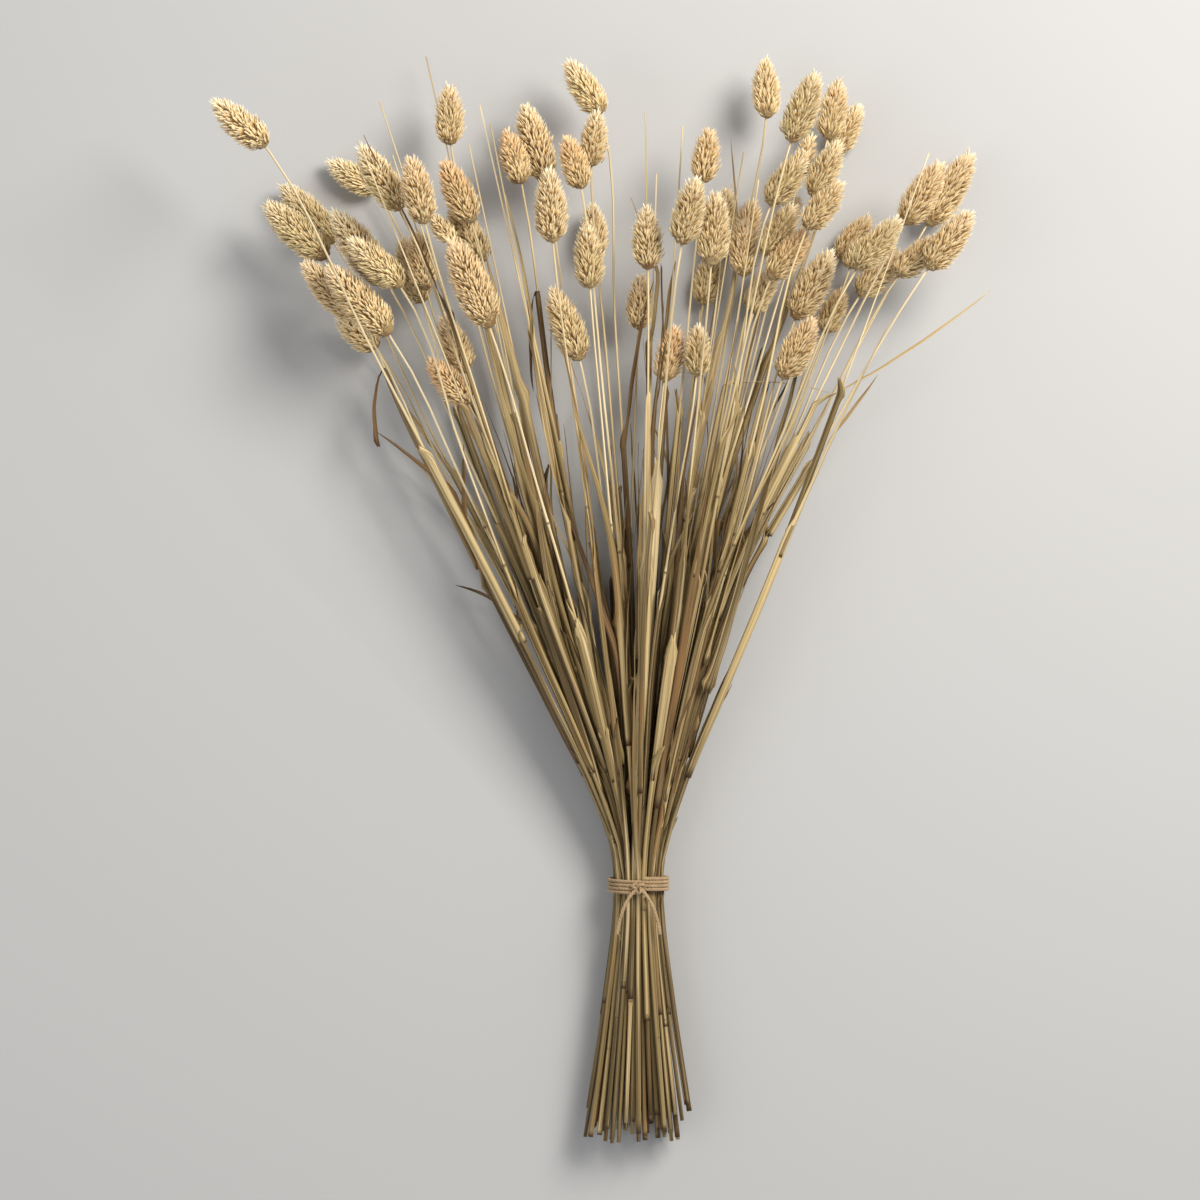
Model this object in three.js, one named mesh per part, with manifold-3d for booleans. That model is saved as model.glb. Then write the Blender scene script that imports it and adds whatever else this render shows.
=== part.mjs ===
// A bundle of dried canary grass, bound with twine at its waist and lying on its side.
// Millimetres and degrees. X runs across the fan, Y along the bundle towards the seed heads, Z up.
// The origin is the middle of the bundle's box, on the surface that the bundle lies on.
//
// Each culm (a stem with the seed head that grew on it) is one solid. The culms go through the twine in
// rows, bottom row first, and each is laid as low as it can lie on those already there.
import * as THREE from "three";
import Module from "manifold-3d";
import { mergeVertices } from "three/addons/utils/BufferGeometryUtils.js";

// Sizes of the bundle
const FAN_REACH = 450; // a culm of reach 100: from where the fan's lines meet to the base of its head
const TAIL_LENGTH = 150; // the twine to the longest cut end
const TAIL_STAGGER = 4; // the cut ends' steps in length
const TAIL_SPREAD = 1.5; // how much wider the cut ends stand than at the twine
const TAIL_LIFT = 0.2; // and how much taller
const FLARE = 30; // the twine to where the fan's lines meet
const ROW_RISE = 1.25; // degrees that each row springs up over the row below
const RISE_STEP = 0.25; // degrees that a culm is raised at a time until it lies clear
const STEEPEST = 60; // degrees, past any culm's place
const BOW = 6; // how far a stem bends sideways from a straight line
const DROOP = 17; // and how much further in a stem that leans right by RIGHT_LEAN stands at mid-height
const RIGHT_LEAN = 26; // degrees
const GATHER = 0.8; // how much of its place at the twine a culm has given up by its head

// Sizes of a culm
const STEM_RADIUS = 1.2; // the sheathed lower stem
const NECK_RADIUS = 0.75; // the bare stem under the head
const HEAD_LENGTH = 45; // a head of size 100
const HEAD_RADIUS = 9.8;
const SIDES = 6;

// Sizes of the twine
const TWINE_RADIUS = 1.1;
const TWINE_TURNS = 4;
const TWINE_END = 28; // each free end past the knot
const KNOT_RADIUS = 3;

const GAP = 0.35; // between any two pieces

// The culms, row by row from the lowest. Each is [lean, reach, size, nod]: the degrees that the stem leans
// from the bundle's line, how far it reaches and how large its head is, in hundredths of FAN_REACH and
// HEAD_LENGTH, and the degrees that the head nods from the line of its stem.
const ROWS = [
  [[-27, 87, 107, -15], [-22, 91, 80, -36], [-22, 75, 93, 4], [12, 70, 70, 15], [19, 80, 72, 17]],
  [[-28, 72, 70, -24], [-21, 76, 82, 11], [7, 70, 80, 5], [10, 78, 70, 3], [16, 93, 75, 10], [20, 70, 66, 3]],
  [[-20, 64, 84, -1], [-15, 93, 82, 13], [-4, 76, 72, -1], [0, 66, 75, 3], [8, 78, 76, -4], [22, 76, 84, 20],
    [25, 88, 116, 7]],
  [[-24, 78, 124, -13], [-15, 77, 92, -12], [-8, 86, 109, -7], [-3, 94, 86, -29], [10, 95, 80, -11],
    [15, 94, 82, -4], [24.5, 80, 76, 20]],
  [[-28, 85, 113, -20], [-21, 60, 82, -21], [-10, 86, 76, -6], [-4, 87, 76, 10], [10.5, 74, 80, -12],
    [15, 86, 84, 11], [16.5, 70, 106, 11], [26.5, 82, 98, 11]],
  [[-28, 76, 106, -16], [-26, 72, 124, -16], [-15, 82, 92, -9], [-5, 84, 74, -11], [5.5, 85, 76, 2],
    [12, 77, 80, 18], [17, 62, 94, 10], [23, 86, 98, 8]],
  [[-28, 100, 92, -21], [-20.5, 86, 100, -12], [-19, 83, 92, 7], [-7, 62, 104, -14], [3, 59, 78, 10],
    [13, 74, 82, 24], [15, 81, 78, 22]],
  [[-23, 77, 94, -24], [-16, 68, 130, -7], [-5, 71, 86, 2], [7, 60, 70, -5], [11.5, 83, 86, 22],
    [20.5, 78, 90, 20]],
  [[-8, 77, 98, 5], [1, 73, 84, -3], [4, 76, 92, 9], [7, 74, 98, -3], [12, 91, 98, 8]],
];

const degrees = THREE.MathUtils.degToRad;
const STEEPEST_LEAN = 30; // degrees, past every lean in ROWS
const PITCH = (2 * STEM_RADIUS) / Math.cos(degrees(STEEPEST_LEAN)) + GAP; // neighbours at the twine
const TIE_HALF = TWINE_TURNS * TWINE_RADIUS; // half the width of the turns of twine

// Where along the stem its rings are, as shares of the tail (behind the twine) and of the way to the head.
const TAIL_RINGS = [1, 0.5];
const STEM_RINGS = [0.13, 0.26, 0.45, 0.72, 1];
// The seed head's rings: how far along it, and how wide as a share of its radius. It ends in a point.
const HEAD_RINGS = [[0.08, 0.7], [0.32, 1], [0.64, 0.94], [0.9, 0.55]];
const TAPER_FROM = 0.4; // the share of the way to the head from where the stem thins to its neck

// How far out a leaning line has come at a distance along the bundle: flat at the twine, straight beyond.
const flare = (along) => Math.hypot(along, FLARE) - FLARE;

// A direction in the bundle's frame from its angle in plan and its rise.
const heading = (plan, rise) =>
  new THREE.Vector3(
    Math.sin(degrees(plan)) * Math.cos(degrees(rise)),
    Math.cos(degrees(plan)) * Math.cos(degrees(rise)),
    Math.sin(degrees(rise)),
  );

// The culms as objects, each with its slot at the twine. Slots are measured from the twine's axis.
function culmsInRows() {
  const culms = [];
  ROWS.forEach((row, level) => {
    const ordered = [...row].sort((a, b) => a[0] - b[0]);
    ordered.forEach(([lean, reach, size, nod], place) => {
      const number = culms.length + 1;
      culms.push({
        name: `culm_${String(number).padStart(2, "0")}`,
        lean,
        nod,
        level,
        reach: (FAN_REACH * reach) / 100,
        headLength: (HEAD_LENGTH * size) / 100,
        headRadius: HEAD_RADIUS * Math.sqrt(size / 100),
        bow: BOW * Math.sin(number * 2.4) - DROOP * (Math.max(lean, 0) / RIGHT_LEAN) ** 2,
        tail: TAIL_LENGTH - TAIL_STAGGER * ((number * 3) % 5),
        slot: new THREE.Vector2(
          (place - (row.length - 1) / 2) * PITCH,
          (level - (ROWS.length - 1) / 2) * PITCH,
        ),
      });
    });
  });
  return culms;
}

// The culm's rings from cut end to the last one before the tip, and the tip, for one rise of its stem.
// Heights are from the twine's axis.
function ringsOf(culm, rise) {
  const tailOut = flare(TAIL_LENGTH);
  const baseY = FLARE + culm.reach * Math.cos(degrees(culm.lean));
  const sideways = Math.tan(degrees(culm.lean));
  const upwards = Math.tan(degrees(rise)) / Math.cos(degrees(culm.lean));
  const rings = [];

  for (const share of [...TAIL_RINGS, (2 * TIE_HALF) / TAIL_LENGTH]) {
    const back = culm.tail * share;
    const out = flare(back) / tailOut;
    rings.push({
      at: new THREE.Vector3(
        culm.slot.x * (1 + TAIL_SPREAD * out),
        -back,
        culm.slot.y * (1 + TAIL_LIFT * out),
      ),
      radius: STEM_RADIUS,
    });
  }
  for (const share of [(2 * TIE_HALF) / baseY, ...STEM_RINGS]) {
    const y = baseY * share;
    const thinned = THREE.MathUtils.smoothstep(share, TAPER_FROM, 1);
    rings.push({
      at: new THREE.Vector3(
        culm.slot.x * (1 - GATHER * share) + sideways * flare(y) + culm.bow * Math.sin(Math.PI * share) ** 2,
        y,
        culm.slot.y + upwards * flare(y),
      ),
      radius: THREE.MathUtils.lerp(STEM_RADIUS, NECK_RADIUS, thinned),
    });
  }
  const base = rings.at(-1).at;
  const along = heading(culm.lean + culm.nod, rise).multiplyScalar(culm.headLength);
  for (const [share, width] of HEAD_RINGS)
    rings.push({
      at: base.clone().addScaledVector(along, share),
      radius: culm.headRadius * width,
    });
  return { rings, tip: base.clone().add(along) };
}

// A culm cut into short capsules, for finding what it touches.
function capsulesOf({ rings, tip }) {
  const spine = [...rings, { at: tip, radius: 0 }];
  const capsules = [];
  for (let i = 1; i < spine.length; i++) {
    const [a, b] = [spine[i - 1], spine[i]];
    const pieces = Math.ceil(Math.abs(a.radius - b.radius) / 1.5) || 1;
    for (let k = 0; k < pieces; k++) {
      const [from, to] = [k / pieces, (k + 1) / pieces];
      const start = a.at.clone().lerp(b.at, from);
      const end = a.at.clone().lerp(b.at, to);
      const radius = Math.max(
        THREE.MathUtils.lerp(a.radius, b.radius, from),
        THREE.MathUtils.lerp(a.radius, b.radius, to),
      );
      const box = new THREE.Box3().setFromPoints([start, end]).expandByScalar(radius + GAP / 2);
      capsules.push({ start, end, radius, box });
    }
  }
  return capsules;
}

// The shortest distance between two line segments.
function apart(a, b) {
  const u = a.end.clone().sub(a.start);
  const v = b.end.clone().sub(b.start);
  const w = a.start.clone().sub(b.start);
  const [uu, uv, vv, uw, vw] = [u.dot(u), u.dot(v), v.dot(v), u.dot(w), v.dot(w)];
  const spread = uu * vv - uv * uv;
  const clamp = (x) => THREE.MathUtils.clamp(x, 0, 1);
  let s = spread > 1e-9 * uu * vv ? clamp((uv * vw - vv * uw) / spread) : 0;
  const t = clamp((uv * s + vw) / vv);
  s = clamp((uv * t - uw) / uu);
  return w.addScaledVector(u, s).addScaledVector(v, -t).length();
}

const touches = (one, other) =>
  one.some((a) =>
    other.some(
      (b) => a.box.intersectsBox(b.box) && apart(a, b) < a.radius + b.radius + GAP,
    ),
  );

// Raises the culm from its row's own rise until it lies clear of the surface and of all the culms laid.
function lay(culm, laid, floor) {
  for (let rise = culm.level * ROW_RISE - 2; rise < STEEPEST; rise += RISE_STEP) {
    const rings = ringsOf(culm, rise);
    const onFloor = rings.rings.every(({ at, radius }) => at.z - radius > floor);
    const capsules = capsulesOf(rings);
    if (onFloor && !laid.some((other) => touches(capsules, other))) {
      laid.push(capsules);
      return rings;
    }
  }
  return ringsOf(culm, STEEPEST);
}

// A lathe-turned culm, bent so that each of its rings stands square on the spine.
function culmGeometry({ rings, tip }) {
  const profile = [new THREE.Vector2(0, 0)];
  let length = 0;
  rings.forEach(({ at, radius }, i) => {
    if (i) length += at.distanceTo(rings[i - 1].at);
    profile.push(new THREE.Vector2(radius, length));
  });
  const end = rings.at(-1).at;
  profile.push(new THREE.Vector2(0, length + tip.distanceTo(end)));

  const centres = [rings[0].at, ...rings.map(({ at }) => at), tip];
  const turned = new THREE.LatheGeometry(profile, SIDES);
  const position = turned.getAttribute("position");
  const [point, side, over] = [new THREE.Vector3(), new THREE.Vector3(), new THREE.Vector3()];
  const up = new THREE.Vector3(0, 0, 1);
  for (let i = 0; i < position.count; i++) {
    const ring = i % profile.length;
    const before = centres[Math.max(ring - 1, 0)];
    const after = centres[Math.min(ring + 1, centres.length - 1)];
    const forward = after.clone().sub(before).normalize();
    side.crossVectors(up, forward).normalize();
    over.crossVectors(forward, side);
    point.fromBufferAttribute(position, i);
    const bent = centres[ring].clone().addScaledVector(side, point.z).addScaledVector(over, point.x);
    position.setXYZ(i, bent.x, bent.y, bent.z);
  }
  turned.deleteAttribute("normal");
  turned.deleteAttribute("uv");
  return mergeVertices(turned);
}

// The radius of the round that clears every culm where it goes through the twine.
function waistRadius(culms) {
  const leaning = Math.max(...culms.map(({ lean }) => Math.abs(Math.tan(degrees(lean)))));
  const furthest = Math.max(...culms.map(({ slot }) => slot.length()));
  return furthest + STEM_RADIUS + 2 * leaning * flare(TIE_HALF) + 2 * GAP;
}

const wasm = await Module();
wasm.setup();

function solidFrom(geometry) {
  const bare = geometry.clone();
  bare.deleteAttribute("normal");
  bare.deleteAttribute("uv");
  const merged = mergeVertices(bare, 1e-3);
  return new wasm.Manifold(
    new wasm.Mesh({
      numProp: 3,
      vertProperties: merged.attributes.position.array,
      triVerts: new Uint32Array(merged.index.array),
    }),
  );
}

function geometryFrom(solid) {
  const mesh = solid.getMesh();
  return new THREE.BufferGeometry()
    .setAttribute("position", new THREE.BufferAttribute(mesh.vertProperties, 3))
    .setIndex(new THREE.BufferAttribute(mesh.triVerts, 1));
}

// The turns of twine as one scalloped ring round Y, with a flat knot on top and its two free ends.
function twineGeometry(inner) {
  const outline = [new THREE.Vector2(inner, -TIE_HALF)];
  for (let turn = 0; turn < TWINE_TURNS; turn++)
    for (let quarter = 0; quarter < 4; quarter++) {
      const angle = (Math.PI * quarter) / 4;
      outline.push(
        new THREE.Vector2(
          inner + TWINE_RADIUS * (1 + Math.sin(angle)),
          -TIE_HALF + TWINE_RADIUS * (2 * turn + 1 - Math.cos(angle)),
        ),
      );
    }
  outline.push(new THREE.Vector2(inner + TWINE_RADIUS, TIE_HALF), new THREE.Vector2(inner, TIE_HALF));
  outline.push(outline[0].clone());
  let tie = solidFrom(new THREE.LatheGeometry(outline, 28));

  const top = inner + 2 * TWINE_RADIUS;
  const knot = new THREE.SphereGeometry(KNOT_RADIUS, 10, 6).scale(1.3, 1, 0.8).translate(0, 0, top);
  tie = tie.add(solidFrom(knot));
  const section = new THREE.Shape().absarc(0, 0, TWINE_RADIUS, 0, 2 * Math.PI);
  for (const hand of [-1, 1]) {
    const end = new THREE.QuadraticBezierCurve3(
      new THREE.Vector3(0, 0, top + TWINE_RADIUS / 2),
      new THREE.Vector3(hand * TWINE_END * 0.35, -TWINE_END * 0.3, top + 3 * TWINE_RADIUS),
      new THREE.Vector3(hand * TWINE_END * 0.45, -TWINE_END, top + TWINE_RADIUS),
    );
    const swept = new THREE.ExtrudeGeometry(section, { extrudePath: end, steps: 6, curveSegments: 3 });
    tie = tie.add(solidFrom(swept));
  }
  return geometryFrom(tie);
}

// Assembly, with heights from the twine's axis until the whole is set on its origin.
const straw = new THREE.MeshStandardMaterial({ color: 0xb59c66, roughness: 0.75, metalness: 0 });
const jute = new THREE.MeshStandardMaterial({ color: 0x9a7b4f, roughness: 0.95, metalness: 0 });
const bundle = new THREE.Group();

const culms = culmsInRows();
const inner = waistRadius(culms);
const floor = -(inner + 2 * TWINE_RADIUS);
const laid = [];
for (const culm of culms) {
  const mesh = new THREE.Mesh(culmGeometry(lay(culm, laid, floor)), straw);
  mesh.name = culm.name;
  bundle.add(mesh);
}
const twine = new THREE.Mesh(twineGeometry(inner), jute);
twine.name = "twine";
bundle.add(twine);

const box = new THREE.Box3().setFromObject(bundle, true);
const middle = box.getCenter(new THREE.Vector3());
bundle.position.set(-middle.x, -middle.y, -box.min.z);

export default bundle;
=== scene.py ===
"""A bundle of dried canary grass, bound with twine and lying on its side.

Metres, in the frame of the CAD model: X across the fan of stems, Y towards the seed heads, Z up from the
surface that the bundle lies on. Each culm is grown straight up its own Z axis, with its stem, sheaths,
leaf blades and seed head, and is then bent along the path that its CAD solid takes.
"""

import math
import random

import bmesh
import bpy
import numpy as np
from mathutils import Matrix, Vector


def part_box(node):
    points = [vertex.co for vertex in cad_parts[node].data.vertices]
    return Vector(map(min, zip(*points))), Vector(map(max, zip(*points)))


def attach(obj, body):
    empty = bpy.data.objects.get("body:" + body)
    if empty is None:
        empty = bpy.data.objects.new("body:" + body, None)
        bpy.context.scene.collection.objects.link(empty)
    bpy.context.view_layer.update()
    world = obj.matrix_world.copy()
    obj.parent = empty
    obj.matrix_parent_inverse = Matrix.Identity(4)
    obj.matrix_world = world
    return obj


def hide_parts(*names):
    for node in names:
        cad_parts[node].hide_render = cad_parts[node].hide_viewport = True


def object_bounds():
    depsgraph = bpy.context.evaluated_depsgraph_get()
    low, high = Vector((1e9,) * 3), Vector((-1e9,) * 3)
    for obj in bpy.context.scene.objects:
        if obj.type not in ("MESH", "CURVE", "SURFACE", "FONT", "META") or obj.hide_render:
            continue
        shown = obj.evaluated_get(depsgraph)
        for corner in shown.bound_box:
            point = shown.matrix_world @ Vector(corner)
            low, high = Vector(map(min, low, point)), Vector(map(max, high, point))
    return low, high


MM = 0.001
GOLDEN_ANGLE = math.pi * (3 - math.sqrt(5))

# The fan
FLARE = 30 * MM  # the twine to where the fan's lines meet
CUT_TO_TWINE = 150 * MM  # the twine's distance from the longest cut end
TAIL_SPREAD = 1.8  # how much wider the cut ends stand than at the twine
TAIL_LIFT = 0.2  # and how much taller
GATHER = 0.8  # how much of its place at the twine a culm has given up by the end of its reach
FAN_STOPS = (0.02, 0.13, 0.26, 0.45, 0.72, 1)  # the shares of its reach that a path has places at

# Stems
STEM_SIDES = 8
STEM_STEP = 24 * MM  # between a stem's rings, away from its nodes
STEM_RADIUS, NECK_RADIUS = 1.15 * MM, 0.62 * MM  # low down, and under the head
SLIM_RADIUS, SLIM_NECK_RADIUS = 1.1 * MM, 0.6 * MM  # the same of a culm with no CAD solid
BARE_TIP_RADIUS = 0.42 * MM
NODE_SPACES = ((50, 95), (115, 150), (120, 160))  # mm, the least and most to each node from the last
NODE_SWELL = 0.42 * MM
NODE_HALF = 1.7 * MM
NODE_RINGS = (-1.6, -0.7, 0, 0.7, 1.6)  # where its rings are, in halves of its length from its middle

# Sheaths and leaf blades, in mm
LEAF_THICKNESS = 0.16
LEAF_COLUMNS = 6
LEAF_ROWS = 36
LEAF_OUT = 1.5  # from the stem's axis to the back of its leaf
SHEATH_DEEP, SHEATH_WIDE = 1.45, 1.5  # half the section of a close sheath, out from the stem and across it
SLACK_DEEP, SLACK_WIDE = 0.15, 1.25  # and what a slack one has more
SLACK_FROM, SLACK_TO = 165, 260  # from the cut end, where sheaths go from close to slack
SHEATH_WRAP = math.radians(165)  # how far round the stem a sheath reaches each way
BLADE_WRAP = math.radians(28)  # half the arc of a blade's section
RIPPLE, RIPPLE_RATE = 0.14, 0.21  # of a blade's edges: its share of their width, and its radians for each mm
PAINTED_SHADE_LOW = 0.18  # the share of its tone that a leaf loses low down, as painted shade where the stems crowd together
PAINTED_LIGHT_HIGH = 0.4  # the share of the way to the palest tone that it gains high up, as painted light on the open upper stems
TIP_BROWNING = 0.35
LONG_BLADE = 30  # a shorter blade's tip has broken off, so it isn't brown
NECK_LENGTH = (120, 215)  # the least and most of the bare stem above the last sheath
SHEATH_LENGTH = (105, 160)
SHORTEST_SHEATH = 40
BLADE_LENGTH = (50, 160)
STUB_LENGTH = (3, 16)
HEAD_ROOM = 15  # what a blade leaves free below its head
WHOLE_BLADES = (0.3, 0.62, 0.62)  # the chance of a whole blade at each node
EDGE_ON = 0.3  # and the chance that a whole blade above the first node is seen edge-on
LEFT, UP, RIGHT, DOWN = 0, math.pi / 2, math.pi, -math.pi / 2  # a straight culm's sides, as it will lie

# Seed heads
GLUME_LENGTH = 6.2 * MM
GLUME_WIDTH = 1.3 * MM
GLUME_DEPTH = 0.8 * MM
GLUME_STEPS = ((0.22, 1.75), (0.26, 1.15), (0.3, 0.62))  # the rise of each, in glume lengths, and its swell
GLUME_POINT = (0.15, 0.22)  # how far its tip leans and rises past them, as shares of its depth and length
GLUME_HOLLOW = 0.25  # how far its inner side is drawn in, past flat
GLUME_AREA = 2.25 * MM * MM  # what one glume shows of itself on the head's outside
GLUME_LIE = (76, 43, 26)  # degrees from the head's axis, at its foot, along its body and at its crown
LOWEST_TIP = 0.07  # the share of the head's length that its lowest glumes' tips are at
HEAD_HOLD = 3 * MM  # how far the stem goes up inside its head
HEAD_RINGS = 4  # the rings of a CAD culm that are its head's, before its tip
HEAD_OUTLINE = [
    (0.0, 0.42), (0.06, 0.72), (0.16, 0.93), (0.34, 1.0), (0.62, 0.93), (0.86, 0.64), (1.0, 0.26),
]
CORE_RADIUS = 0.66  # of the head's
CORE_FOOT, CORE_LENGTH = 0.01, 0.86  # shares of the head's length

# Leaves that stand out from the rest, by culm: where the leaf starts, its sheath and its blade, in mm, the
# side that it is on, and its other facts.
ODD_LEAVES = {
    41: [((300, 140, 122, RIGHT), {"width": 1.6, "away": 38, "curl": -16, "twist": 80, "tone": 0.7})],
    26: [(
        (345, 130, 44, LEFT), {"width": 2.6, "away": 142, "curl": 22, "brown": 0.6, "twist": 60, "torn": 2})],
    6: [((170, 130, 52, LEFT), {"width": 1.9, "away": 8, "curl": 42, "brown": 0.8, "twist": 100})],
    28: [((350, 140, 60, LEFT), {"width": 2.3, "away": 165, "curl": 14, "brown": 1.0, "twist": 60})],
    30: [((320, 130, 62, RIGHT), {"width": 1.6, "away": 70, "curl": 25, "tone": 0.7})],
    46: [((230, 140, 20, UP), {"width": 2.8, "away": 3, "wrap": 1.5, "tone": 0.82, "torn": 2})],
    56: [((190, 130, 110, UP), {"width": 3.0, "away": 2, "curl": 5, "twist": 30, "wrap": 1.5, "torn": 2})],
    58: [((120, 150, 14, UP), {"width": 2.6, "away": 6, "wrap": 1.6, "tone": 0.76, "torn": 3})],
    50: [((160, 140, 12, UP), {"width": 2.4, "away": 9, "wrap": 1.4, "tone": 0.7, "torn": 3})],
}

# Twine
TWINE_RADIUS = 1.1 * MM
TWINE_TURNS = 4
TURN_ROUNDING = 64  # places in a turn
TURN_PITCH = 0.97  # how far apart the turns lie, in widths of the twine
KNOT_SIZE = (1.45 * MM, 1.15 * MM, 0.9 * MM)  # of its loops: across, along and up
KNOT_RISE = 0.7 * MM
TWINE_END = 28 * MM
STRANDS = 3
STRAND_RADIUS = 0.6 * MM
STRAND_LAY = 6.5 * MM  # the length of one turn of the strands round each other
LAY_SECTIONS = 10  # places in that length

# Culms with no CAD solid of their own, as (lean, reach): the degrees that each leans from the bundle's line
# and its length in the fan, in mm. Thirteen have lost their heads, and five that lie behind others have
# small ones: the last two numbers are the head's length and the degrees that it nods.
BARE = [
    (-15, 475), (-19, 450), (-19.5, 424), (-21.5, 432), (-13.5, 412), (-12, 432), (-11.5, 420),
    (0.5, 422), (1.5, 388), (3.5, 417), (8.5, 404), (10, 386), (22.5, 429),
]
SMALL_HEADS = [
    (13.5, 398, 27, 1), (13, 358, 31, 11), (-17, 363, 20, -23), (20, 355, 18, -2), (12, 313, 29, 15),
]
SMALL_HEAD_RADIUS = 6.6 * MM
SMALL_HEAD_WARMTH = 0.2
EXTRA_TAIL = (128, 148)  # mm behind the twine, at least and at most
EXTRA_BOW = 7  # mm, the most that one bends sideways
EXTRA_WIDTH = 0.7 * MM  # the radius that is kept clear round one's stem
RISES = np.arange(0.4, 10, 0.4)  # degrees, the ways up that are tried for one
FILL_STEP = 9 * MM  # between the places where two culms' distance is measured
SLOT_OUT = 13.2 * MM  # their places in the twine: how far out one can be from its axis,
SLOT_STEP = 3.2 * MM  # how far apart in height they are,
FULL_LEAN = 19  # and the lean, in degrees, that puts one at the twine's side
FIRST_EXTRA = 101  # their numbers start here,
FIRST_LOOSE = 201  # and the loose leaves' here
SALMON = {27, 28, 36, 37, 46, 47}  # the culms whose heads have turned salmon at their tips

# Lengths of leaf that hang on in the bundle with no culm of their own
LOOSE_LEAVES = 52
LOOSE_LEAN = 21  # degrees, the most to either side
LOOSE_LENGTH = (120, 240)  # mm, as are the rest
LOOSE_START = (50, 170)  # from the lower end of their path
LOOSE_REACH = 350
LOOSE_TAIL = 20

# Colours
STRAW_TONES = (
    (0.0, (0.105, 0.070, 0.023)), (0.3, (0.215, 0.150, 0.056)), (0.6, (0.345, 0.243, 0.096)),
    (0.8, (0.590, 0.445, 0.215)), (1.0, (0.880, 0.735, 0.475)),
)
PALE_FIBRE = (0.66, 0.51, 0.27, 1)
# Dark streaks along the fibres: partly the straw's own streaks, partly painted shade in the grooves between
# its ribs.
STREAK_AND_GROOVE_SHADE = (0.072, 0.041, 0.012, 1)
RUST = (0.30, 0.140, 0.040, 1)
OLD_BROWN = (0.085, 0.045, 0.018, 1)
JOINT_BROWN = (0.07, 0.032, 0.012, 1)
# From a glume's foot to its tip. The dark foot is partly the glume's own colour and partly painted shade
# where the glumes overlap.
GLUME_TONES = (
    (0.0, (0.19, 0.100, 0.032)), (0.22, (0.42, 0.255, 0.090)), (0.45, (0.77, 0.540, 0.235)),
    (0.7, (0.93, 0.745, 0.425)), (0.95, (0.98, 0.88, 0.65)),
)
GREEN_BEIGE = (0.66, 0.56, 0.28, 1)
CREAM = (0.95, 0.86, 0.66, 1)
SALMON_PINK = (0.93, 0.60, 0.31, 1)
JUTE_TONES = ((0.25, (0.13, 0.075, 0.032)), (0.5, (0.33, 0.215, 0.105)), (0.78, (0.52, 0.375, 0.205)))
WORN_JUTE = (0.42, 0.29, 0.15, 1)


# ---------------------------------------------------------------- hand tools

def select(*pieces):
    bpy.ops.object.select_all(action="DESELECT")
    for piece in pieces:
        piece.select_set(True)
    bpy.context.view_layer.objects.active = pieces[0]


def smooth(low, high, x):
    """0 below low, 1 above high, and an even curve between."""
    t = np.clip((x - low) / (high - low), 0, 1)
    return t * t * (3 - 2 * t)


def points_of(mesh):
    points = np.empty(3 * len(mesh.vertices), np.float32)
    mesh.vertices.foreach_get("co", points)
    return points.reshape(-1, 3).astype(float)


def put_points(mesh, points):
    mesh.vertices.foreach_set("co", np.asarray(points, np.float32).ravel())
    mesh.update()


def sheet_of(name, columns, rows):
    """A flat grid to roll or bend, with its two coordinates running from 0 to 1."""
    bpy.ops.mesh.primitive_grid_add(x_subdivisions=columns, y_subdivisions=rows, size=1)
    sheet = bpy.context.active_object
    sheet.name = name
    across, along = points_of(sheet.data)[:, :2].T + 0.5
    return sheet, across, along


def lay_fibres(sheet, width, length):
    """Scales the grid's UV map to metres, so that fibres keep their size: U across, V along."""
    layer = sheet.data.uv_layers.active
    layer.name = "fibre"
    uv = np.empty(2 * len(layer.uv), np.float32)
    layer.uv.foreach_get("vector", uv)
    uv = uv.reshape(-1, 2) * (width, length)
    layer.uv.foreach_set("vector", uv.ravel())


def write_growth(mesh, tone, mark, age, place):
    """Keeps four facts on each vertex for the materials: its tone, its mark, its age and its place.

    The mark is a stem's dark node or how far along its glume a vertex is, and the age is how brown or
    how salmon it has gone. The place is a vertex's share of the height of its seed head, or, the same
    all over a stem or a leaf, where in the pattern of fibres it was cut from.
    """
    facts = np.empty((len(mesh.vertices), 4), np.float32)
    facts[:, 0] = tone
    facts[:, 1] = mark
    facts[:, 2] = age
    facts[:, 3] = place
    growth = mesh.color_attributes.new("growth", "FLOAT_COLOR", "POINT")
    growth.data.foreach_set("color", facts.ravel())


def apply_modifiers(piece):
    select(piece)
    for modifier in list(piece.modifiers):
        bpy.ops.object.modifier_apply(modifier=modifier.name)


# ---------------------------------------------------------------- stems

def straight_stem(number, length, thick, thin, chance):
    """A stem with its nodes, from its cut end at zero to the base of its head."""
    nodes, reached = [], 0
    for space in NODE_SPACES:
        reached += chance.uniform(*space) * MM
        nodes.append(reached)
    steps = set(np.arange(0, length, STEM_STEP))
    for node in nodes:
        steps |= {node + NODE_HALF * share for share in NODE_RINGS}
    steps = np.array(sorted(step for step in steps if step < length - MM) + [length])

    stem, across, along = sheet_of(f"stem_{number}", STEM_SIDES, len(steps) - 1)
    z = steps[np.rint(along * (len(steps) - 1)).astype(int)]
    radius = thick + (thin - thick) * smooth(0.35 * length, 0.95 * length, z)
    at_node = sum(np.exp(-(((z - node) / NODE_HALF) ** 2)) for node in nodes)
    radius = radius + NODE_SWELL * at_node
    turn = 2 * math.pi * across
    put_points(stem.data, np.column_stack([radius * np.cos(turn), radius * np.sin(turn), z]))
    lay_fibres(stem, 2 * math.pi * thick, length)
    golden = smooth(0.45 * length, 0.8 * length, z)
    low_tone = 0.78 * chance.random() ** 1.2
    tone = low_tone * (1 - golden) + chance.uniform(0.84, 1.0) * golden
    brown = chance.uniform(0, 0.45) * (1 - golden)
    write_growth(stem.data, tone, 0.9 * at_node ** 2, brown, low_tone)
    close_tube(stem)
    return stem, nodes


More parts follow.
